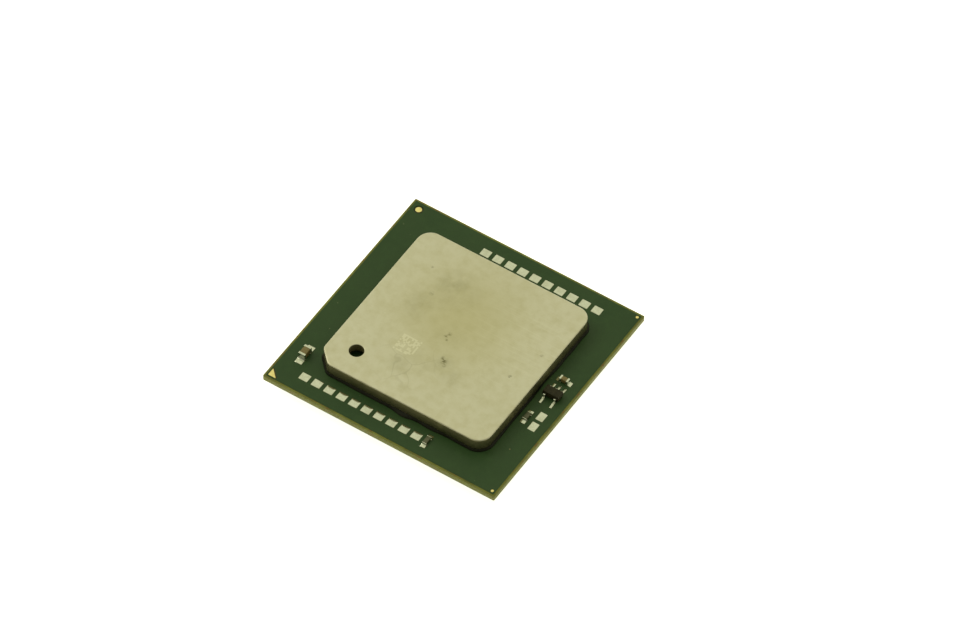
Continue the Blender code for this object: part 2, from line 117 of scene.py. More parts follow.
# Marks on the solder mask, in millimetres
HYPOTENUSE = -39.87                # x + y along the pin-one triangle's long side
FIDUCIAL = (-19.58, 19.58)
BLEMISH = (18.2, -12.2)

# Camera: the long lens stands at the front, a little to the right
CAMERA_AZIMUTH = 32.615
CAMERA_ELEVATION = 51.12
CAMERA_ROLL = 0.92
CAMERA_DISTANCE = 1.36415
CAMERA_LENS = 331.26
AIM_X = 0.517 * MM
AIM_Y = 6.421 * MM

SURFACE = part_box("upper_solder_mask")[1].z
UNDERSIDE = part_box("lower_solder_mask")[0].z
LID_LOW, LID_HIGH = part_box("heat_spreader")
LID_HALF = LID_HIGH.x
CAVITY_HALF = LID_HALF - LID_FOOT
VENT = VENT_WALL + VENT_RADIUS - CAVITY_HALF    # its middle, along X and Y alike


# ---- Materials ------------------------------------------------------------------------------

def linear(code):
    """An sRGB hex colour as linear RGBA."""
    shares = [int(code[i:i + 2], 16) / 255 for i in (0, 2, 4)]
    return [s / 12.92 if s <= 0.04045 else ((s + 0.055) / 1.055) ** 2.4 for s in shares] + [1.0]


def add(tree, kind, inputs=None, out=0, **settings):
    """Adds a shader node and returns the output asked for, or the node where out is None. An input
    that is a socket is linked, a hex code is a colour, and any other is a value. A colour Mix has its
    share on input 0 and its two colours on 6 and 7."""
    made = tree.nodes.new("ShaderNode" + kind)
    for name, value in settings.items():
        setattr(made, name, value)
    for key, value in (inputs or {}).items():
        if isinstance(value, bpy.types.NodeSocket):
            tree.links.new(value, made.inputs[key])
        else:
            made.inputs[key].default_value = linear(value) if isinstance(value, str) else value
    return made if out is None else made.outputs[out]


def new_finish(name, **sockets):
    """A material with one Principled shader: the material, its own add, and its Object coordinates in
    millimetres, so that a noise scale of 1 / 2 makes blotches 2 mm across."""
    material = bpy.data.materials.new(name)
    material.use_nodes = True
    tree = material.node_tree
    for socket, value in sockets.items():
        tree.nodes["Principled BSDF"].inputs[socket.replace("_", " ")].default_value = value
    node = partial(add, tree)
    here = node("TexCoord", out="Object")
    return material, node, node("VectorMath", {0: here, "Scale": 1 / MM}, operation="SCALE")


def surface(material, colour, roughness, height, depth):
    """Links a finish's patterns to its shader; the height's full range is depth millimetres."""
    tree = material.node_tree
    bump = add(tree, "Bump", {"Height": height, "Distance": depth * MM, "Strength": 1.0})
    for socket, value in (("Base Color", colour), ("Roughness", roughness), ("Normal", bump)):
        tree.links.new(value, tree.nodes["Principled BSDF"].inputs[socket])
    return material


def near(node, mm, x, y, radius, core=0.0):
    """1 at a place on the plan, fading to 0 at radius; core is the share of it that stays 1."""
    plan = node("VectorMath", {0: mm, 1: (1, 1, 0)}, operation="MULTIPLY")
    away = node("VectorMath", {0: plan, 1: (x, y, 0)}, out="Value", operation="DISTANCE")
    return node("MapRange", {0: away, 1: radius * core, 2: radius, 3: 1.0, 4: 0.0},
                interpolation_type="SMOOTHSTEP")


def weave(node, mm, pitch):
    """Plain glass cloth, pitch millimetres from yarn to yarn, as a height from -1 to 1."""
    turns = node("VectorMath", {0: mm, "Scale": 2 * math.pi / pitch}, operation="SCALE")
    waves = node("VectorMath", {0: turns}, operation="SINE")
    warp = node("SeparateXYZ", {0: waves}, out="X")
    weft = node("SeparateXYZ", {0: waves}, out="Y")
    return node("Math", {0: warp, 1: weft}, operation="MULTIPLY")


def code_cells(node, mm):
    """A small etched square of random cells, with no message in it, as 0 or 1."""
    x, y = CODE_PLACE
    moved = node("VectorMath", {0: mm, 1: (-x, -y, -LID_HIGH.z / MM)}, operation="ADD")
    scaled = node("VectorMath", {0: moved, "Scale": 1 / CODE_CELL}, operation="SCALE")
    snapped = node("VectorMath", {0: scaled}, operation="FLOOR")
    plan = node("VectorMath", {0: snapped, 1: (1, 1, 0)}, operation="MULTIPLY")
    chance = node("TexWhiteNoise", {"Vector": plan}, out="Value", noise_dimensions="3D")
    cells = node("Math", {0: chance, 1: 0.42}, operation="GREATER_THAN")
    size = node("VectorMath", {0: moved}, operation="ABSOLUTE")
    limits = node("VectorMath", {0: (CODE_HALF, CODE_HALF, 0.05), 1: size}, operation="SUBTRACT")
    for axis in "XYZ":
        room = node("SeparateXYZ", {0: limits}, out=axis)
        inside = node("Math", {0: room, 1: 0.0}, operation="GREATER_THAN")
        cells = node("Math", {0: cells, 1: inside}, operation="MULTIPLY")
    return cells


def satin_nickel():
    """Nickel plate over a stamped copper lid, dulled by tumbling: a warm grey that reflects softly,
    yellower where it was handled, with fine diagonal scratches, smudges and a faint etched square."""
    material, node, mm = new_finish("satin_nickel_plate", Metallic=1.0)
    broad = node("TexNoise", {"Vector": mm, "Scale": 1 / 11, "Detail": 2.0})
    tone = node("Mix", {0: broad, 6: "D4D2C2", 7: "CAC8B5"}, out=2, data_type="RGBA")
    handled = node("Math", {0: near(node, mm, -1.0, 3.0, 16.0), 1: 0.6}, operation="MULTIPLY")
    tone = node("Mix", {0: handled, 6: tone, 7: "B9B388"}, out=2, data_type="RGBA")
    fine = node("TexNoise", {"Vector": mm, "Scale": 1 / 1.5, "Detail": 5.0, "Roughness": 0.6})
    mottle = node("MapRange", {0: fine, 1: 0.4, 2: 0.75, 3: 0.0, 4: 0.4})
    tone = node("Mix", {0: mottle, 6: tone, 7: "B3AE88"}, out=2, data_type="RGBA")
    cloud = node("TexNoise", {"Vector": mm, "Scale": 1 / 2.2, "Detail": 6.0, "Roughness": 0.6})
    strokes = node("Mapping", {"Vector": mm, "Rotation": (0, 0, math.radians(-32)),
                               "Scale": (1.6, 4.0, 1.0)})
    strokes = node("TexNoise", {"Vector": strokes, "Scale": 1.0, "Detail": 4.0, "Roughness": 0.7})
    for places, torn, low, high, shade in ((SMUDGES, cloud, 0.3, 0.7, "79754A"),
                                           (SCUFFS, strokes, 0.42, 0.58, "56512F")):
        for x, y, size, dark in places:
            edge = node("MapRange", {0: torn, 1: low, 2: high, 3: 0.0, 4: dark})
            share = node("Math", {0: edge, 1: near(node, mm, x, y, size)}, operation="MULTIPLY")
            tone = node("Mix", {0: share, 6: tone, 7: shade}, out=2, data_type="RGBA")

    # Branching hairlines near the front
    bent = node("TexNoise", {"Vector": mm, "Scale": 1 / 4, "Detail": 1.0}, out="Color")
    bent = node("VectorMath", {0: bent, 1: (3.0, 3.0, 3.0), 2: mm}, operation="MULTIPLY_ADD")
    hairs = node("TexVoronoi", {"Vector": bent, "Scale": 1 / 5}, feature="DISTANCE_TO_EDGE")
    thin = node("MapRange", {0: hairs, 1: 0.006, 2: 0.02, 3: 0.17, 4: 0.0})
    share = node("Math", {0: thin, 1: near(node, mm, -3.0, -8.5, 8.0)}, operation="MULTIPLY")
    tone = node("Mix", {0: share, 6: tone, 7: "6E6A44"}, out=2, data_type="RGBA")

    # Scratches in three directions, most of them on the right
    scratch = None
    worn = node("Math", {0: near(node, mm, 11.0, 6.0, 16.0), 1: 0.85, 2: 0.15}, operation="MULTIPLY_ADD")
    for angle, length, width in ((-40, 14, 0.22), (-47, 9, 0.15), (35, 18, 0.2)):
        turned = node("Mapping", {"Vector": mm, "Rotation": (0, 0, math.radians(angle)),
                                  "Scale": (1 / length, 1 / width, 1.0)})
        lines = node("TexNoise", {"Vector": turned, "Scale": 1.0, "Detail": 2.0})
        thin = node("MapRange", {0: lines, 1: 0.6, 2: 0.72}, interpolation_type="SMOOTHSTEP")
        scratch = node("Math", {0: thin, 1: scratch}, operation="MAXIMUM") if scratch else thin
    scratch = node("Math", {0: scratch, 1: worn}, operation="MULTIPLY")
    share = node("Math", {0: scratch, 1: 0.3}, operation="MULTIPLY")
    tone = node("Mix", {0: share, 6: tone, 7: "DEDCCB"}, out=2, data_type="RGBA")

    # Walls painted darker below the top edge as painted shade and a painted reflection of the dark mask,
    # also rougher than the flat top, and the etched square
    level = node("SeparateXYZ", {0: mm}, out="Z")
    top = LID_HIGH.z / MM
    side = node("MapRange", {0: level, 1: top - 0.01, 2: top - 0.2, 3: 0.0, 4: 0.9})
    tone = node("Mix", {0: side, 6: tone, 7: "86805A"}, out=2, data_type="RGBA")
    cells = code_cells(node, mm)
    share = node("Math", {0: cells, 1: 0.6}, operation="MULTIPLY")
    tone = node("Mix", {0: share, 6: tone, 7: "E0DECB"}, out=2, data_type="RGBA")

    patchy = node("TexNoise", {"Vector": mm, "Scale": 1 / 5, "Detail": 3.0})
    rough = node("MapRange", {0: patchy, 1: 0.3, 2: 0.7, 3: 0.33, 4: 0.41})
    rough = node("Math", {0: cells, 1: 0.08, 2: rough}, operation="MULTIPLY_ADD")
    rough = node("Math", {0: scratch, 1: -0.05, 2: rough}, operation="MULTIPLY_ADD")
    rough = node("Math", {0: side, 1: 0.08, 2: rough}, operation="MULTIPLY_ADD")
    bore = node("Math", {0: side, 1: near(node, mm, VENT / MM, VENT / MM, 1.6, 0.8)}, operation="MULTIPLY")
    rough = node("Math", {0: bore, 1: 0.35, 2: rough}, operation="MULTIPLY_ADD")
    grain = node("TexNoise", {"Vector": mm, "Scale": 1 / 0.1, "Detail": 2.0})
    wave = node("TexNoise", {"Vector": mm, "Scale": 1 / 8, "Detail": 1.0})
    height = node("Math", {0: grain, 1: 0.1, 2: wave}, operation="MULTIPLY_ADD")
    height = node("Math", {0: scratch, 1: -0.08, 2: height}, operation="MULTIPLY_ADD")
    dent = near(node, mm, -11.5, 12.8, 0.3)
    height = node("Math", {0: dent, 1: -1.5, 2: height}, operation="MULTIPLY_ADD")
    return surface(material, tone, rough, height, 0.02)


def green_solder_mask():
    """Light-cured epoxy solder mask, deep green and half matt, over copper planes: the cloth below
    shows faintly through it, with a fine orange peel and a few dust specks."""
    material, node, mm = new_finish("green_epoxy_solder_mask", IOR=1.5, Specular_IOR_Level=0.25)
    broad = node("TexNoise", {"Vector": mm, "Scale": 1 / 9, "Detail": 3.0})
    share = node("MapRange", {0: broad, 1: 0.35, 2: 0.65})
    tone = node("Mix", {0: share, 6: "2A4625", 7: "304A29"}, out=2, data_type="RGBA")
    fine = node("TexNoise", {"Vector": mm, "Scale": 1 / 1.2, "Detail": 4.0})
    share = node("MapRange", {0: fine, 1: 0.45, 2: 0.75, 3: 0.0, 4: 0.5})
    tone = node("Mix", {0: share, 6: tone, 7: "33502B"}, out=2, data_type="RGBA")
    specks = node("TexVoronoi", {"Vector": mm, "Scale": 1 / 2.4, "Randomness": 1.0}, out="Distance")
    share = node("MapRange", {0: specks, 1: 0.02, 2: 0.05, 3: 0.3, 4: 0.0})
    tone = node("Mix", {0: share, 6: tone, 7: "A4A88A"}, out=2, data_type="RGBA")

    # The dark edge of the opening beside the pin-one triangle, and one pale blemish
    off = node("VectorMath", {0: mm, 1: (1, 1, 0)}, out="Value", operation="DOT_PRODUCT")
    band = node("Math", {0: off, 1: HYPOTENUSE + 0.1, 2: 0.14}, operation="COMPARE")
    corner = near(node, mm, HYPOTENUSE / 2, HYPOTENUSE / 2, 1.2, 0.8)
    share = node("Math", {0: band, 1: corner}, operation="MULTIPLY")
    tone = node("Mix", {0: share, 6: tone, 7: "40301A"}, out=2, data_type="RGBA")
    spot = near(node, mm, *BLEMISH, 0.18, 0.3)
    tone = node("Mix", {0: spot, 6: tone, 7: "70704F"}, out=2, data_type="RGBA")

    sheen = node("TexNoise", {"Vector": mm, "Scale": 1 / 2.2, "Detail": 4.0})
    rough = node("MapRange", {0: sheen, 1: 0.3, 2: 0.7, 3: 0.36, 4: 0.48})
    peel = node("TexNoise", {"Vector": mm, "Scale": 1 / 0.35, "Detail": 2.0})
    height = node("Math", {0: weave(node, mm, 0.5), 1: 0.25, 2: peel}, operation="MULTIPLY_ADD")
    return surface(material, tone, rough, height, 0.005)


def glass_laminate():
    """Glass-cloth epoxy laminate, routed to size: olive and a little translucent, with the cut ends
    of the cloth as fine level streaks and the inner copper as faint brown ones."""
    material, node, mm = new_finish("routed_glass_epoxy_laminate", IOR=1.5, Specular_IOR_Level=0.3)
    flat = node("Mapping", {"Vector": mm, "Scale": (0.35, 0.35, 9.0)})
    yarns = node("TexNoise", {"Vector": flat, "Scale": 1.0, "Detail": 4.0, "Roughness": 0.6})
    share = node("MapRange", {0: yarns, 1: 0.3, 2: 0.7})
    tone = node("Mix", {0: share, 6: "5D6029", 7: "7F843A"}, out=2, data_type="RGBA")
    level = node("SeparateXYZ", {0: mm}, out="Z")
    turns = node("Math", {0: level, 1: 2 * math.pi / 0.16}, operation="MULTIPLY")
    plies = node("Math", {0: turns}, operation="SINE")
    share = node("MapRange", {0: plies, 1: 0.2, 2: 0.9, 3: 0.0, 4: 0.35})
    tone = node("Mix", {0: share, 6: tone, 7: "4B4A22"}, out=2, data_type="RGBA")
    streaks = node("Mapping", {"Vector": mm, "Scale": (0.6, 0.6, 5.0)})
    copper = node("TexNoise", {"Vector": streaks, "Scale": 1.0, "Detail": 2.0})
    share = node("MapRange", {0: copper, 1: 0.56, 2: 0.7, 3: 0.0, 4: 0.6})
    tone = node("Mix", {0: share, 6: tone, 7: "76502E"}, out=2, data_type="RGBA")

    # Dark laminate in the mask's opening round the fiducial
    ring = near(node, mm, *FIDUCIAL, 1.0, 0.85)
    tone = node("Mix", {0: ring, 6: tone, 7: "2A361D"}, out=2, data_type="RGBA")

    patchy = node("TexNoise", {"Vector": mm, "Scale": 1 / 0.7, "Detail": 3.0})
    rough = node("MapRange", {0: patchy, 1: 0.3, 2: 0.7, 3: 0.5, 4: 0.68})
    height = node("Math", {0: weave(node, mm, 0.5), 1: 0.2, 2: yarns}, operation="MULTIPLY_ADD")
    return surface(material, tone, rough, height, 0.015)


def levelled_solder():
    """Hot-air levelled tin solder: silvery and domed, a little frosted where its grains froze."""
    material, node, mm = new_finish("levelled_tin_solder", Metallic=1.0)
    grains = node("TexVoronoi", {"Vector": mm, "Scale": 1 / 0.22}, out="Color")
    shade = node("SeparateColor", {0: grains}, out="Red")
    share = node("Math", {0: shade, 1: 0.5}, operation="MULTIPLY")
    tone = node("Mix", {0: share, 6: "D6DBCF", 7: "C3C8BA"}, out=2, data_type="RGBA")
    dull = node("TexNoise", {"Vector": mm, "Scale": 1 / 1.1, "Detail": 3.0})
    share = node("MapRange", {0: dull, 1: 0.45, 2: 0.8, 3: 0.0, 4: 0.5})
    tone = node("Mix", {0: share, 6: tone, 7: "AEB09C"}, out=2, data_type="RGBA")
    rough = node("MapRange", {0: shade, 3: 0.1, 4: 0.2})
    swell = node("TexNoise", {"Vector": mm, "Scale": 1 / 0.5, "Detail": 2.0})
    height = node("Math", {0: shade, 1: 0.1, 2: swell}, operation="MULTIPLY_ADD")
    return surface(material, tone, rough, height, 0.006)


def plain_finish(name, light, dark, blotch, low, high, grain, depth, **sockets):
    """A finish of two close tones in soft blotches, with its own grain; sizes in millimetres."""
    material, node, mm = new_finish(name, **sockets)
    cloud = node("TexNoise", {"Vector": mm, "Scale": 1 / blotch, "Detail": 4.0})
    share = node("MapRange", {0: cloud, 1: 0.32, 2: 0.68})
    tone = node("Mix", {0: share, 6: light, 7: dark}, out=2, data_type="RGBA")
    rough = node("MapRange", {0: cloud, 1: 0.3, 2: 0.7, 3: low, 4: high})
    texture = node("TexNoise", {"Vector": mm, "Scale": 1 / grain, "Detail": 3.0})
    return surface(material, tone, rough, texture, depth)


def black_sealant():
    """Cured silicone adhesive, black and dull, with a soft lumpy skin."""
    return plain_finish("cured_black_silicone", "1A1C10", "11130B", 0.8, 0.42, 0.6, 0.45, 0.03,
                        IOR=1.41, Specular_IOR_Level=0.25)


def gold_plate():
    """Thin gold over nickel: pale yellow, softly bright, with a fine plated grain."""
    return plain_finish("gold_flash_over_nickel", "F3E7A4", "E8D890", 0.6, 0.24, 0.36, 0.08, 0.004,
                        Metallic=1.0)


def pin_gold():
    """Thicker gold over nickel on drawn pins: a deeper yellow, a little scuffed along the shaft."""
    return plain_finish("gold_plated_pin_wire", "DDB862", "C59C4C", 0.5, 0.22, 0.38, 0.12, 0.003,
                        Metallic=1.0)


def brown_ceramic():
    """Fired barium titanate: a dusty reddish brown, matt, with a fine fired grain."""
    return plain_finish("fired_capacitor_ceramic", "80703E", "6A5C2E", 0.3, 0.5, 0.65, 0.12, 0.008,
                        IOR=1.9, Specular_IOR_Level=0.3)


def dark_glaze():
    """Fired glass glaze over a resistor's film: near black with a greenish cast, smooth and shiny."""
    return plain_finish("fired_resistor_glaze", "595C40", "4A4D36", 0.5, 0.3, 0.45, 0.3, 0.008,
                        IOR=1.55)


def moulding_compound():
    """Filled epoxy moulding compound: black, with the mould's fine spark texture."""
    return plain_finish("spark_textured_epoxy_moulding", "2B2913", "201E0E", 0.5, 0.5, 0.66, 0.07, 0.006,
                        IOR=1.55, Specular_IOR_Level=0.2)


def ground_silicon():
    """The die's ground back: dark blue grey and nearly mirror bright."""
    return plain_finish("ground_silicon", "9A9CA4", "888A93", 2.0, 0.12, 0.2, 0.15, 0.001, Metallic=1.0)


def thermal_paste():
    """Filled thermal paste: dull mid grey, pressed out in soft lumps."""
    return plain_finish("filled_thermal_paste", "B0B0A8", "9A9A94", 1.4, 0.6, 0.8, 0.8, 0.02, IOR=1.45)


def amber_underfill():
    """Cured underfill resin: dark amber with a smooth, glossy meniscus."""
    return plain_finish("cured_underfill_resin", "523F26", "3E2F1B", 1.0, 0.2, 0.35, 0.9, 0.01, IOR=1.52)


# ---- Shapes ---------------------------------------------------------------------------------

def only(items, kind):
    return [item for item in items if isinstance(item, kind)]


def sheet(bm, half_x, half_y, height, centre=(0, 0)):
    """A flat rectangular face that looks up."""
    made = bmesh.ops.create_grid(bm, x_segments=1, y_segments=1, size=1)["verts"]
    place = Matrix.Translation((centre[0], centre[1], height))
    bmesh.ops.transform(bm, verts=made, matrix=place @ Matrix.Diagonal((half_x, half_y, 1, 1)))
    return made[0].link_faces[0]


def round_corners(bm, corners, cut, segments):
    """Flat corners drawn back along their two edges by cut, to arcs of that many segments."""
    made = bmesh.ops.bevel(bm, geom=corners, offset=cut, offset_type="ABSOLUTE", segments=segments,
                           profile=0.5, affect="VERTICES", material=-1)
    return only(made["verts"], bmesh.types.BMVert)


def rounded_sheet(bm, half_x, half_y, height, radius, segments, centre=(0, 0)):
    face = sheet(bm, half_x, half_y, height, centre)
    corner = round_corners(bm, list(face.verts), radius, segments)[0]
    return corner.link_faces[0]


def lid_sheet(bm, grow, height, spacing=None):
    """The lid's outline as a face, moved outwards by grow: three round corners and one chamfer."""
    face = sheet(bm, LID_HALF + grow, LID_HALF + grow, height)
    pin_one = min(face.verts, key=lambda corner: corner.co.x + corner.co.y)
    square = [corner for corner in face.verts if corner is not pin_one]
    leg = LID_CHAMFER + grow * (2 - math.sqrt(2))
    blunt = round_corners(bm, [pin_one], leg, 1)
    round_corners(bm, blunt, (CHAMFER_ROUNDING + grow) * math.tan(math.radians(22.5)), 6)
    points = round_corners(bm, square, LID_CORNER + grow, 12)
    if spacing:
        long = [edge for edge in points[0].link_faces[0].edges if edge.calc_length() > 4 * LID_CHAMFER]
        split = bmesh.ops.subdivide_edges(bm, edges=long, cuts=int(2 * LID_HALF / spacing))
        points = only(split["geom_split"], bmesh.types.BMVert)
    return points[0].link_faces[0]


def lift(bm, face, rise=0.0, keep=False, shares=(1, 1)):
    """The face drawn up into walls and scaled about its middle; keep leaves the first face as the
    shape's floor."""
    if keep:
        grown = bmesh.ops.extrude_face_region(bm, geom=[face])["geom"]
        top = only(grown, bmesh.types.BMFace)[0]
    else:
        top = bmesh.ops.extrude_discrete_faces(bm, faces=[face])["faces"][0]
    bmesh.ops.translate(bm, vec=(0, 0, rise), verts=top.verts)
    middle = Matrix.Translation(-top.calc_center_bounds())
    bmesh.ops.scale(bm, vec=(shares[0], shares[1], 1), verts=top.verts, space=middle)
    return top


def soften(bm, edges, radius, segments=3):
    bmesh.ops.bevel(bm, geom=edges, offset=radius, offset_type="OFFSET", segments=segments,
                    profile=0.5, affect="EDGES", material=-1)


def sharp_edges(bm, angle=30):
    """Edges where the surface turns by more than an angle."""
    return [edge for edge in bm.edges if edge.calc_face_angle(0) > math.radians(angle)]


def block(low, high):
    """A box between two corners."""
    bm = bmesh.new()
    low, high = Vector(low), Vector(high)
    size = Matrix.Diagonal((*(high - low), 1))
    bmesh.ops.create_cube(bm, size=1, matrix=Matrix.Translation((low + high) / 2) @ size)
    return bm


def side_profile(points, half_width):
    """A closed bar along Y from a profile in the X-Z plane."""
    bm = bmesh.new()
    side = bm.faces.new([bm.verts.new((x, -half_width, z)) for x, z in points])
    grown = bmesh.ops.extrude_face_region(bm, geom=[side])["geom"]
    bmesh.ops.translate(bm, vec=(0, 2 * half_width, 0), verts=only(grown, bmesh.types.BMVert))
    bmesh.ops.recalc_face_normals(bm, faces=bm.faces)
    return bm


def rings_down(bm, ring, centre, steps):
    """An open ring of edges drawn through (radius, height) steps about a centre. The first step is the
    ring itself."""
    middle = Matrix.Translation((-centre[0], -centre[1], 0))
    for (radius, height), (next_radius, next_height) in zip(steps, steps[1:]):
        grown = bmesh.ops.extrude_edge_only(bm, edges=ring)["geom"]
        ring = only(grown, bmesh.types.BMEdge)
        points = only(grown, bmesh.types.BMVert)
        share = next_radius / radius
        bmesh.ops.scale(bm, vec=(share, share, 1), verts=points, space=middle)
        bmesh.ops.translate(bm, vec=(0, 0, next_height - height), verts=points)
    return ring


def stack(bm, centre, sides, steps):
    """A closed turned shape about Z through (radius, height) steps, from its floor up."""
    made = bmesh.ops.create_circle(bm, cap_ends=True, segments=sides, radius=steps[0][0],
                                   matrix=Matrix.Translation((centre[0], centre[1], steps[0][1])))["verts"]
    face = made[0].link_faces[0]
    for number, (radius, height) in enumerate(steps[1:]):
        share = radius / steps[number][0]
        face = lift(bm, face, height - steps[number][1], number == 0, (share, share))


def ripple(bm, amount, size, seed=0.0):
    """Small unevenness along the normals, of a given size."""
    bm.normal_update()
    shift = Vector((seed, -seed, 2 * seed))
    for point in bm.verts:
        point.co += point.normal * amount * noise.noise(point.co / size + shift)


def piece(name, bm, material, slot, *nodes, angle=40):
    """A finished piece, riding on the package and standing for its CAD nodes."""
    bmesh.ops.recalc_face_normals(bm, faces=bm.faces)
    mesh = bpy.data.meshes.new(name)
    bm.to_mesh(mesh)
    bm.free()
    mesh.shade_smooth()
    mesh.set_sharp_from_angle(angle=math.radians(angle))
    mesh.materials.append(material)
    made = bpy.data.objects.new(name, mesh)
    bpy.context.scene.collection.objects.link(made)
    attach(made, "root")
    if nodes:
        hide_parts(*nodes)
    return made


def middle_and_half(node):
    low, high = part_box(node)
    return (low + high) / 2, (high - low) / 2


# ---- Pieces ---------------------------------------------------------------------------------

def make_board(material):
    low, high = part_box("board_laminate")
    bm = block(low, high)
    upright = [edge for edge in bm.edges if abs(edge.verts[0].co.z - edge.verts[1].co.z) > MM / 2]
    soften(bm, upright, BOARD_CORNER, 4)
    soften(bm, sharp_edges(bm, 60), BOARD_ARRIS, 2)
    piece("board_core", bm, material, "laminate", "board_laminate")


def make_lid(material):
    """Stamped lid: rounded top edge, straight walls, wide foot, cavity for the die and a vent."""
    bm = bmesh.new()
    foot = lid_sheet(bm, 0.0, LID_LOW.z)
    top = lift(bm, foot, LID_HIGH.z - LID_LOW.z, keep=True)
    soften(bm, list(top.edges), LID_EDGE, 6)
    top = max((f for f in bm.faces if f.normal.z > 0.99), key=lambda f: f.calc_area())
    bmesh.ops.inset_region(bm, faces=[top], thickness=LID_BAND, use_even_offset=True)

    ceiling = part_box("thermal_interface")[1].z + CLEARANCE
    lip = ((4.0, 0.0), (1.0, 0.0), (0.55, -0.15), (0.15, -0.5), (0.0, -1.0))
    steps = [(VENT_RADIUS + out * VENT_LIP, LID_HIGH.z + up * VENT_LIP) for out, up in lip]
    rim = bmesh.ops.create_circle(bm, cap_ends=False, segments=40, radius=steps[0][0],
                                  matrix=Matrix.Translation((VENT, VENT, LID_HIGH.z)))["verts"]
    mouth = list({edge for point in rim for edge in point.link_edges})
    outline = list(top.edges)
    bmesh.ops.delete(bm, geom=[top], context="FACES_ONLY")
    bmesh.ops.triangle_fill(bm, edges=outline + mouth, use_beauty=True, normal=(0, 0, 1))
    throat = rings_down(bm, mouth, (VENT, VENT), steps + [(VENT_RADIUS, ceiling)])

    hollow = rounded_sheet(bm, CAVITY_HALF, CAVITY_HALF, LID_LOW.z, CAVITY_CORNER, 8)
    inner = list(hollow.edges)
    roof = lift(bm, hollow, ceiling - LID_LOW.z)
    roof_edges = list(roof.edges)
    floor = max((f for f in bm.faces if f.normal.z < -0.99), key=lambda f: f.calc_area())
    outer = list(floor.edges)
    bmesh.ops.delete(bm, geom=[roof, floor], context="FACES_ONLY")
    bmesh.ops.triangle_fill(bm, edges=roof_edges + throat, use_beauty=True, normal=(0, 0, -1))
    bmesh.ops.triangle_fill(bm, edges=outer + inner, use_beauty=True, normal=(0, 0, -1))
    piece("plated_lid", bm, material, "nickel_plate", "heat_spreader", angle=35)


def make_sealant(material):
    """Sealant under the lid's foot, squeezed out into an uneven bead that climbs the wall a little."""
    low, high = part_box("lid_sealant")
    bm = bmesh.new()
    skin = BEAD[-1][0] * MM
    widest = max(out for out, up in BEAD) * MM
    steps = [(out * MM, low.z + up * MM) for out, up in BEAD] + [(skin, high.z)]
    loops = []
    for grow, height in steps:
        face = lid_sheet(bm, grow, height, spacing=BEAD_SPACING)
        loops.append(list(face.edges))
        bmesh.ops.delete(bm, geom=[face], context="FACES_ONLY")
    for first, second in zip(loops, loops[1:]):
        bmesh.ops.bridge_loops(bm, edges=first + second)
    for point in bm.verts:
        plan = Vector((point.co.x, point.co.y, 0))
        swell = BEAD_WANDER * noise.noise(plan / WANDER_LENGTH + Vector((3, 7, 0)))
        if plan.y < -LID_HALF:
            swell += LUMP_SIZE * math.exp(-((plan.x - LUMP_PLACE) / LUMP_SPREAD) ** 2)
        past = max(abs(plan.x), abs(plan.y)) - LID_HALF - skin
        point.co += plan.normalized() * swell * max(0.0, past) / (widest - skin)
    floor = rounded_sheet(bm, CAVITY_HALF, CAVITY_HALF, low.z, CAVITY_CORNER, 8)
    inner_low = list(floor.edges)
    roof = lift(bm, floor, high.z - low.z)
    inner_high = list(roof.edges)
    bmesh.ops.delete(bm, geom=[roof], context="FACES_ONLY")
    bmesh.ops.triangle_fill(bm, edges=inner_low + loops[0], use_beauty=True)
    bmesh.ops.triangle_fill(bm, edges=inner_high + loops[-1], use_beauty=True)
    piece("sealant_bead", bm, material, "sealant", "lid_sealant", angle=60)


def make_solder_pads(material):
    """Bare pads, each a low pillow of levelled solder, no two quite alike."""
    names = [f"{row}_test_pad_{i:02d}" for row in ("front", "rear") for i in range(1, 11)]
    names += ["spare_pad_1", "spare_pad_2"]
    for seed, name in enumerate(names):
        middle, half = middle_and_half(name)
        low = middle.z - half.z
        bm = bmesh.new()
        face = rounded_sheet(bm, half.x, half.y, low, PAD_CORNER, 3, middle)
        top = lift(bm, face, SURFACE - low, keep=True)
        size = half.copy()
        for inward, rise in PILLOW:
            smaller = size - Vector((inward, inward, 0)) * MM
            top = lift(bm, top, rise * MM, shares=(smaller.x / size.x, smaller.y / size.y))
            size = smaller
        ripple(bm, 0.004 * MM, 1.2 * MM, seed * 3.7)
        piece(name + "_solder", bm, material, "tin_solder", name, angle=60)


def make_gold_marks(material):
    low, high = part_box("pin_one_triangle")
    bm = bmesh.new()
    points = [(low.x, low.y), (high.x, low.y), (low.x, high.y)]
    face = bm.faces.new([bm.verts.new((x, y, low.z)) for x, y in points])
    face = round_corners(bm, list(face.verts), MARK_CORNER, 3)[0].link_faces[0]
    top = lift(bm, face, high.z - low.z, keep=True)
    soften(bm, list(top.edges), MARK_EDGE, 2)
    piece("pin_one_mark", bm, material, "gold_plate", "pin_one_triangle")
    for name in ("round_fiducial", "rear_corner_dot", "front_corner_dot"):
        middle, half = middle_and_half(name)
        bm = bmesh.new()
        radius, low, high = half.x, middle.z - half.z, middle.z + half.z
        stack(bm, middle, 36, ((radius, low), (radius, high - MARK_EDGE),
                               (radius - MARK_EDGE / 3, high - MARK_EDGE / 3),
                               (radius - MARK_EDGE, high), (radius * 0.7, high)))
        piece(name + "_disc", bm, material, "gold_plate", name)


def pin_grid(node):
    """Pin centres of one bank, from its land sheet's box."""
    low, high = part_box(node)
    axes = []
    for first, last in ((low.x, high.x), (low.y, high.y)):
        count = round((last - first - 2 * LAND_MARGIN) / PIN_PITCH) + 1
        axes.append([first + LAND_MARGIN + i * PIN_PITCH for i in range(count)])
    return [(x, y) for x in axes[0] for y in axes[1]]


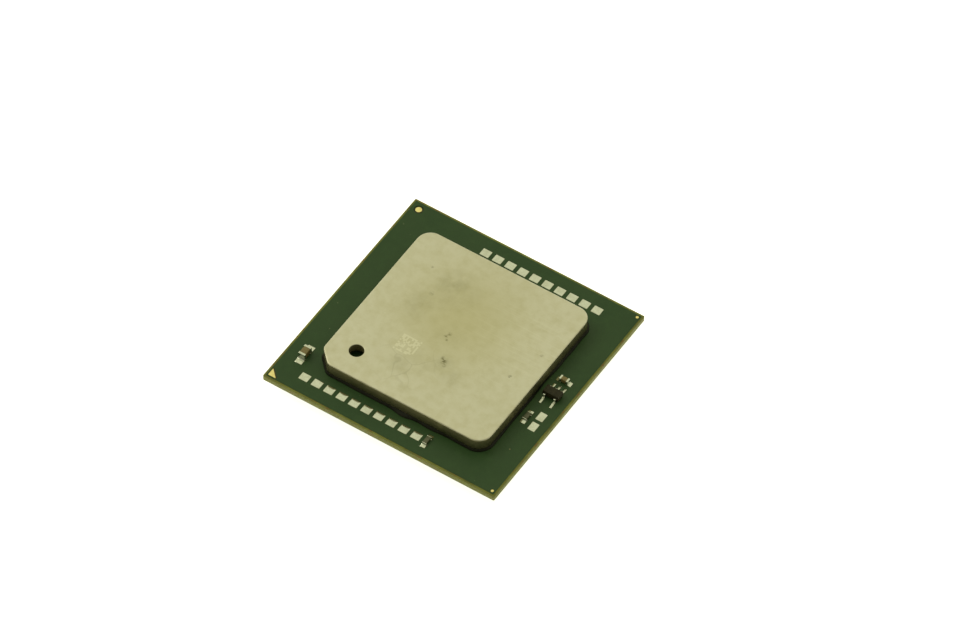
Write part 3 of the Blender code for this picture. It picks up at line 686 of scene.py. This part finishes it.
def repeat(shape, places):
    """One bmesh with a copy of a shape at each place on the plan."""
    mesh = bpy.data.meshes.new("pattern")
    shape.to_mesh(mesh)
    shape.free()
    bm = bmesh.new()
    here = Vector((0, 0, 0))
    for x, y in places:
        there = Vector((x, y, 0))
        mesh.transform(Matrix.Translation(there - here))
        here = there
        bm.from_mesh(mesh)
    bpy.data.meshes.remove(mesh)
    return bm


def make_pins(gold, solder):
    """Nail-headed round pins with domed tips, each held to its land by a collar of solder."""
    r = PIN_RADIUS
    head = UNDERSIDE - 0.01 * MM
    for side in ("front", "rear", "left", "right"):
        node = side + "_pin_bank"
        places = pin_grid(node)
        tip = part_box(node)[0].z
        pin = bmesh.new()
        stack(pin, (0, 0), 10, ((0.45 * r, tip), (0.85 * r, tip + 0.04 * MM), (r, tip + 0.12 * MM),
                                (r, head - PIN_HEAD_HEIGHT),
                                (PIN_HEAD_RADIUS, head - PIN_HEAD_HEIGHT * 0.8),
                                (PIN_HEAD_RADIUS, head)))
        piece(side + "_pins", repeat(pin, places), gold, "gold_plate", node, angle=50)
        collar = bmesh.new()
        stack(collar, (0, 0), 10, ((r * 1.02, head - 0.42 * MM), (r * 1.25, head - 0.28 * MM),
                                   (r * 1.9, head - 0.15 * MM), (r * 2.6, head - 0.07 * MM),
                                   (r * 2.95, head)))
        piece(side + "_pin_solder", repeat(collar, places), solder, "tin_solder", angle=50)


def make_chip(name, glaze, slot, metal, along_y, wrap=1.0):
    """Ceramic body with two wrapped metal ends, each held by a concave fillet of solder on its pad.
    along_y lays the chip along Y, and wrap is the share of its CAD end that the metal covers."""
    middle, half = middle_and_half(name + "_body")
    along, across = (half.y, half.x) if along_y else (half.x, half.y)
    grow = CHIP_END_WALL + CLEARANCE
    length, width = along + grow, across + grow
    bottom, top = middle.z - half.z - grow, middle.z + half.z + grow
    turn = Matrix.Rotation(math.radians(90 if along_y else 0), 4, "Z")
    place = Matrix.Translation((middle.x, middle.y, 0)) @ turn
    ends = [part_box(f"{name}_end_{i}") for i in (1, 2)]
    axis = 1 if along_y else 0
    reach = (max(e[1][axis] for e in ends) - min(e[0][axis] for e in ends)) / 2
    inner = ends[0][0][axis] - middle[axis]
    base = ends[0][0].z

    body = block((-along, -across, bottom + grow * 0.6), (along, across, top - grow * 0.6))
    soften(body, list(body.edges), CERAMIC_EDGE, 3)
    ripple(body, 0.006 * MM, 0.4 * MM, middle.x / MM)
    bmesh.ops.transform(body, verts=body.verts, matrix=place)
    piece(name + "_ceramic", body, glaze, slot, name + "_body")
    for number, side in enumerate((1, -1), 1):
        start, stop = sorted((side * (length - wrap * (length - inner)), side * length))
        cap = block((start, -width, bottom), (stop, width, top))
        soften(cap, list(cap.edges), END_EDGE, 4)
        ripple(cap, 0.012 * MM, 0.5 * MM, side + middle.y / MM)
        bmesh.ops.transform(cap, verts=cap.verts, matrix=place)
        piece(f"{name}_cap_{number}", cap, metal, "tin_solder", f"{name}_end_{number}")
        climb = bottom + FILLET_CLIMB * (top - bottom)
        knee = length + FILLET_KNEE * (reach - length)
        film = SURFACE + FILM
        under = length - 0.08 * MM
        profile = ((inner, base), (reach, base), (reach, film - 0.01 * MM),
                   (reach - 0.1 * MM, film + 0.01 * MM), (knee, film + 0.05 * MM),
                   (length - 0.02 * MM, climb), (under, climb), (under, bottom), (inner, bottom))
        fillet = side_profile([(side * x, z) for x, z in profile], width)
        valley = [edge for edge in fillet.edges
                  if all(abs(abs(v.co.x) - knee) < 0.01 * MM for v in edge.verts)]
        soften(fillet, valley, FILLET_HOLLOW, 5)
        rims = [edge for edge in sharp_edges(fillet, 50)
                if min(v.co.z for v in edge.verts) > base + 0.01 * MM]
        soften(fillet, rims, 0.02 * MM, 2)
        bmesh.ops.transform(fillet, verts=fillet.verts, matrix=place)
        piece(f"{name}_fillet_{number}", fillet, metal, "tin_solder", angle=45)


def make_side_chip(moulding, metal):
    """Small moulded package: drafted halves about a parting line, and five gull-wing leads."""
    middle, half = middle_and_half("side_chip_body")
    low, high = middle.z - half.z, middle.z + half.z
    narrow_x, narrow_y = half.x - MOULD_DRAFT, half.y - MOULD_DRAFT
    bm = bmesh.new()
    face = rounded_sheet(bm, narrow_x, narrow_y, low, 0.04 * MM, 2, middle)
    narrow = (narrow_x / half.x, narrow_y / half.y)
    line = lift(bm, face, middle.z - low, True, (1 / narrow[0], 1 / narrow[1]))
    top = lift(bm, line, high - middle.z, shares=narrow)
    soften(bm, list(top.edges), 0.045 * MM, 3)
    piece("side_chip_moulding", bm, moulding, "moulded_black", "side_chip_body")

    t = LEAD_THICKNESS
    for number in range(1, 6):
        node = f"side_chip_lead_{number}"
        place, span = middle_and_half(node)
        side = 1 if place.y > middle.y else -1
        start = half.y - 0.1 * MM
        end = abs(place.y - middle.y) + span.y
        foot = SURFACE + FILM + 0.01 * MM
        heel = half.y + LEAD_HEEL
        toe = half.y + LEAD_TOE
        shoulder = middle.z + t / 2
        profile = ((start, shoulder - t), (heel, shoulder - t), (heel, foot), (toe, foot),
                   (toe, foot + t), (heel + t, foot + t), (heel + t, shoulder), (start, shoulder))
        strip = side_profile(profile, span.x * 0.85)
        bends = [edge for edge in strip.edges if abs(edge.verts[0].co.y - edge.verts[1].co.y) > span.x
                 and heel - 0.01 * MM < edge.verts[0].co.x < heel + t + 0.01 * MM]
        soften(strip, bends, LEAD_BEND, 4)
        turn = Matrix.Translation((place.x, middle.y, 0)) @ Matrix.Rotation(side * math.pi / 2, 4, "Z")
        bmesh.ops.transform(strip, verts=strip.verts, matrix=turn)
        piece(node + "_strip", strip, metal, "tin_solder", node)
        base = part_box(node)[0].z
        back = heel - 0.01 * MM
        profile = ((back, base), (end, base), (end, SURFACE + 0.01 * MM),
                   (end - 0.12 * MM, SURFACE + 0.04 * MM), (toe + 0.12 * MM, SURFACE + 0.09 * MM),
                   (toe - 0.05 * MM, foot + t * 0.8), (heel + t + 0.1 * MM, foot + t * 0.7),
                   (back, foot + 0.02 * MM))
        wedge = side_profile(profile, span.x)
        rims = [edge for edge in sharp_edges(wedge, 20) if min(v.co.z for v in edge.verts) > SURFACE]
        soften(wedge, rims, 0.03 * MM, 3)
        bmesh.ops.transform(wedge, verts=wedge.verts, matrix=turn)
        piece(node + "_solder", wedge, metal, "tin_solder", angle=50)


def make_underside_capacitors(ceramic, metal):
    """Capacitors under the die: ceramic bodies with wrapped ends, soldered to the board above them."""
    for i in range(1, 5):
        node = f"underside_capacitor_{i}"
        low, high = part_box(node)
        body = block(low + Vector((0.04, 0.03, 0.03)) * MM, high - Vector((0.04, 0.03, 0.03)) * MM)
        soften(body, list(body.edges), 0.06 * MM, 3)
        piece(node + "_ceramic", body, ceramic, "brown_ceramic", node)
        spans = ((low.x, low.x + UNDERSIDE_WRAP), (high.x - UNDERSIDE_WRAP, high.x))
        for number, (first, last) in enumerate(spans, 1):
            cap = block((first, low.y, low.z), (last, high.y, high.z))
            soften(cap, list(cap.edges), 0.09 * MM, 4)
            ripple(cap, 0.012 * MM, 0.6 * MM, i + number)
            piece(f"{node}_cap_{number}", cap, metal, "tin_solder")


def give_materials(finishes):
    for node, material in finishes.items():
        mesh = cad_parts[node].data
        mesh.materials.clear()
        mesh.materials.append(material)


# ---- Studio ---------------------------------------------------------------------------------

def make_camera():
    azimuth, elevation, roll = map(math.radians, (CAMERA_AZIMUTH, CAMERA_ELEVATION, CAMERA_ROLL))
    back = Vector((math.sin(azimuth) * math.cos(elevation), -math.cos(azimuth) * math.cos(elevation),
                   math.sin(elevation)))
    data = bpy.data.cameras.new("long_lens")
    data.lens = CAMERA_LENS
    data.sensor_width = 36.0
    camera = bpy.data.objects.new("camera", data)
    turn = (-back).to_track_quat("-Z", "Y").to_matrix().to_4x4() @ Matrix.Rotation(roll, 4, "Z")
    place = Vector((AIM_X, AIM_Y, SURFACE)) + back * CAMERA_DISTANCE
    camera.matrix_world = Matrix.Translation(place) @ turn
    bpy.context.scene.collection.objects.link(camera)
    bpy.context.scene.camera = camera


def make_lamp(name, place, target, size, power, colour):
    data = bpy.data.lights.new(name, "AREA")
    data.shape = "DISK"
    data.size = size
    data.energy = power
    data.color = linear(colour)[:3]
    lamp = bpy.data.objects.new(name, data)
    away = Vector(place) - Vector(target)
    turn = away.to_track_quat("Z", "Y").to_matrix().to_4x4()
    lamp.matrix_world = Matrix.Translation(place) @ turn
    bpy.context.scene.collection.objects.link(lamp)


def make_studio():
    """A lit white table in a pale warm room that is brightest behind the package, with one wide soft
    lamp at its left."""
    acrylic = plain_finish("lit_opal_acrylic", "F6F6EE", "F3F3EA", 60.0, 0.5, 0.6, 3.0, 0.001,
                           Specular_IOR_Level=0.0, Emission_Color=linear("FFFFF6"), Emission_Strength=0.92)
    bm = bmesh.new()
    sheet(bm, 3.0, 3.0, 0.0)
    mesh = bpy.data.meshes.new("table")
    bm.to_mesh(mesh)
    bm.free()
    mesh.materials.append(acrylic)
    table = bpy.data.objects.new("table", mesh)
    bpy.context.scene.collection.objects.link(table)

    make_lamp("softbox", (-0.75, -0.1, 0.72), (0, 0, 0), 0.4, 1.6, "FFFCE0")

    world = bpy.data.worlds.new("studio")
    bpy.context.scene.world = world
    world.use_nodes = True
    tree = world.node_tree
    tree.nodes.clear()
    away = add(tree, "TexCoord", out="Generated")
    towards = add(tree, "VectorMath", {0: away, 1: (-0.3, 0.75, 0.59)}, out="Value",
                  operation="DOT_PRODUCT")
    strength = add(tree, "MapRange", {0: towards, 1: -0.7, 2: 0.8, 3: 0.10, 4: 0.82})
    room = add(tree, "Background", {"Color": "FFFDD7", "Strength": strength})
    wall = add(tree, "Background", {"Color": "FFFFFA", "Strength": 1.0})
    seen = add(tree, "LightPath", out="Is Camera Ray")
    both = add(tree, "MixShader", {0: seen, 1: room, 2: wall})
    add(tree, "OutputWorld", {"Surface": both}, out=None)
    bpy.context.scene.view_settings.view_transform = "Standard"


# ---- The package ----------------------------------------------------------------------------

nickel, mask, solder, gold = satin_nickel(), green_solder_mask(), levelled_solder(), gold_plate()
ceramic, glaze = brown_ceramic(), dark_glaze()

give_materials({
    "upper_solder_mask": mask,
    "lower_solder_mask": mask,
    "silicon_die": ground_silicon(),
    "thermal_interface": thermal_paste(),
    "die_underfill": amber_underfill(),
})
make_board(glass_laminate())
make_lid(nickel)
make_sealant(black_sealant())
make_solder_pads(solder)
make_gold_marks(gold)
make_pins(pin_gold(), solder)
make_chip("left_capacitor", ceramic, "brown_ceramic", solder, True)
make_chip("right_capacitor", ceramic, "brown_ceramic", solder, False)
make_chip("right_resistor", glaze, "dark_glaze", solder, True, 0.5)
make_chip("front_resistor", glaze, "dark_glaze", solder, True, 0.5)
make_side_chip(moulding_compound(), solder)
make_underside_capacitors(ceramic, solder)
make_camera()
make_studio()
